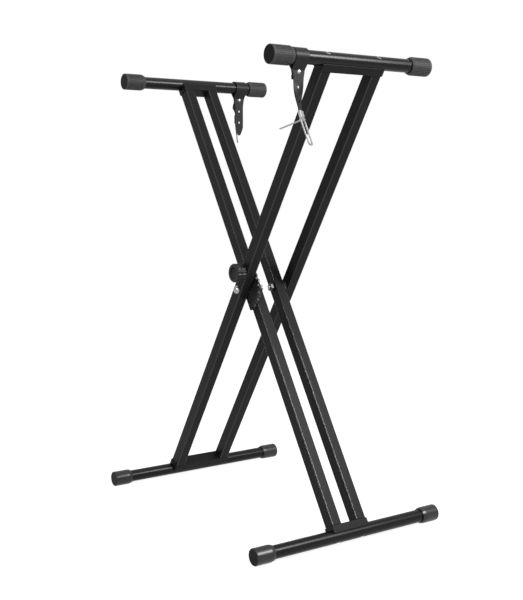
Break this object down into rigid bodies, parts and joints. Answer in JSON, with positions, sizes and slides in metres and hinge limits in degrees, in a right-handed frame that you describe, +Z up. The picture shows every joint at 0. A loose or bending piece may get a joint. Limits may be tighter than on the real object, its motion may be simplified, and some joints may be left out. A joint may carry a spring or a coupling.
{
  "type": "keyboard stand",
  "caption": "Folding double X stand: two nested frames on one pivot, round support and foot tubes with rubber caps, a notched lock with a pull knob, and hanging rubber straps.",
  "frame": {"origin": "on the floor, below the pivot, at the middle of the overall box", "axes": "+Z up, +Y along the round tubes from front to back, +X along the keyboard, towards the wide frame's support tube"},
  "size_m": [0.6018, 0.434, 0.9034],
  "materials": {
    "powder_coat": "black powder coat, satin",
    "gloss_paint": "black gloss paint",
    "rubber": "matte",
    "knob_plastic": "satin black",
    "nylon": "matte black",
    "plate_steel": "blackened, satin",
    "chrome": "polished",
    "zinc": "zinc plated"
  },
  "bodies": {
    "inner_frame": {"inner_rail_front": "powder_coat", "inner_rail_back": "powder_coat", "inner_saddle_top": "powder_coat", "inner_saddle_foot": "powder_coat", "support_tube_left": "gloss_paint", "support_cap_left_front": "rubber", "support_cap_left_back": "rubber", "support_bolt_left_front": "zinc", "support_bolt_left_back": "zinc", "support_nut_left_front": "zinc", "support_nut_left_back": "zinc", "foot_tube_right": "gloss_paint", "foot_cap_right_front": "rubber", "foot_cap_right_back": "rubber", "foot_bolt_right_front": "zinc", "foot_bolt_right_back": "zinc", "foot_nut_right_front": "zinc", "foot_nut_right_back": "zinc", "lock_plate": "plate_steel"},
    "outer_frame": {"outer_rail_front": "powder_coat", "outer_rail_back": "powder_coat", "outer_saddle_top": "powder_coat", "outer_saddle_foot": "powder_coat", "support_tube_right": "gloss_paint", "support_cap_right_front": "rubber", "support_cap_right_back": "rubber", "support_bolt_right_front": "zinc", "support_bolt_right_back": "zinc", "support_nut_right_front": "zinc", "support_nut_right_back": "zinc", "foot_tube_left": "gloss_paint", "foot_cap_left_front": "rubber", "foot_cap_left_back": "rubber", "foot_bolt_left_front": "zinc", "foot_bolt_left_back": "zinc", "foot_nut_left_front": "zinc", "foot_nut_left_back": "zinc", "pivot_bolt_front": "chrome", "pivot_bolt_back": "chrome", "pivot_nut_front": "zinc", "pivot_nut_back": "zinc", "pivot_washer_front": "nylon", "pivot_washer_back": "nylon", "lock_sleeve": "zinc"},
    "lock_knob": {"lock_knob": "knob_plastic", "lock_pin": "zinc", "lock_spring": "zinc"},
    "strap_right": {"strap_right": "rubber", "strap_clip_right": "chrome", "strap_rivet_right": "chrome"},
    "strap_left": {"strap_left": "rubber", "strap_clip_left": "chrome", "strap_rivet_left": "chrome"},
    "strap_loop_right": {"strap_loop_right": "chrome"},
    "strap_tongue_right": {"strap_tongue_right": "chrome"},
    "strap_loop_left": {"strap_loop_left": "chrome"},
    "strap_tongue_left": {"strap_tongue_left": "chrome"}
  },
  "joints": [
    {"name": "main_fold", "type": "hinge", "parent": "inner_frame", "child": "outer_frame", "pos_m": [0, 0, 0.45625], "axis": [0, 1, 0], "range_deg": [-60, 40]},
    {"name": "lock_pull", "type": "slide", "parent": "outer_frame", "child": "lock_knob", "axis": [0, 1, 0], "range_m": [-0.003, 0.0032], "stiffness_N_per_m": 600, "deforming": ["lock_spring"]},
    {"name": "strap_right_swing", "type": "hinge", "parent": "outer_frame", "child": "strap_right", "pos_m": [0.27402, -0.119, 0.88638], "axis": [0, 1, 0], "range_deg": [-90, 30]},
    {"name": "strap_left_swing", "type": "hinge", "parent": "inner_frame", "child": "strap_left", "pos_m": [-0.27402, 0.112, 0.88638], "axis": [0, 1, 0], "range_deg": [-30, 90]},
    {"name": "loop_right_swing", "type": "hinge", "parent": "strap_right", "child": "strap_loop_right", "pos_m": [0.28107, -0.11431, 0.77919], "axis": [-0.6428, 0.766, 0], "range_deg": [-53, 82]},
    {"name": "tongue_right_swing", "type": "hinge", "parent": "strap_right", "child": "strap_tongue_right", "pos_m": [0.28107, -0.11431, 0.77919], "axis": [-0.6428, 0.766, 0], "range_deg": [-142, 13]},
    {"name": "loop_left_swing", "type": "hinge", "parent": "strap_left", "child": "strap_loop_left", "pos_m": [-0.28807, 0.112, 0.81048], "axis": [-0.829, 0.5592, 0], "range_deg": [0, 86]},
    {"name": "tongue_left_swing", "type": "hinge", "parent": "strap_left", "child": "strap_tongue_left", "pos_m": [-0.28807, 0.112, 0.81048], "axis": [-0.829, 0.5592, 0], "range_deg": [0, 86]}
  ]
}
